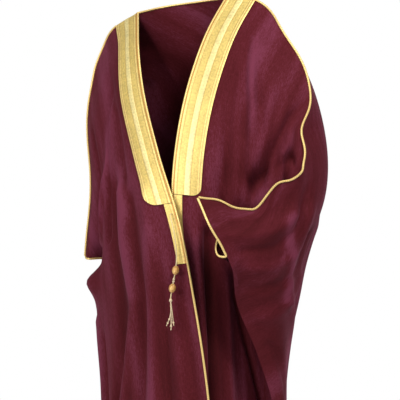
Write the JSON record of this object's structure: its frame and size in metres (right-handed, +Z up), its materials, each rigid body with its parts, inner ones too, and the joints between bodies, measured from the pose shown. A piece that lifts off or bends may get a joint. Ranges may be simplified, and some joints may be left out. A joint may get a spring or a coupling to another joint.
{
  "type": "bisht cloak",
  "caption": "Wide wool cloak with gold braid bands, worn open and drawn together at the waist, one sleeve bent and one hanging, with a beaded tie cord.",
  "frame": {"origin": "the point on the shoulder line, midway between the shoulders, where the cloak rests on its wearer", "axes": "+X the garment's left, -Y its front, +Z up along the hang of the cloth"},
  "size_m": [0.6445, 0.4977, 1.4246],
  "materials": {
    "wool": "fine plain-woven wool, matte with a soft sheen",
    "braid": "metal-thread braid, satin",
    "piping": "metal-thread cord piping, satin",
    "cord": "twisted metal-thread cord, satin",
    "bead": "turned, wrapped in metal thread, satin"
  },
  "bodies": {
    "root": {"front_right": "wool", "front_left": "wool", "back": "wool", "band_right": "braid", "band_left": "braid", "band_neck": "braid", "strip_right": "braid", "strip_left": "braid", "edge_piping_right": "piping", "edge_piping_left": "piping", "edge_piping_neck": "piping", "seam_piping_right": "piping", "seam_piping_left": "piping", "cuff_piping_right": "piping", "cuff_piping_left": "piping", "tie_cord": "cord", "cord_tassel": "cord", "bead_upper": "bead", "bead_lower": "bead"}
  },
  "joints": []
}
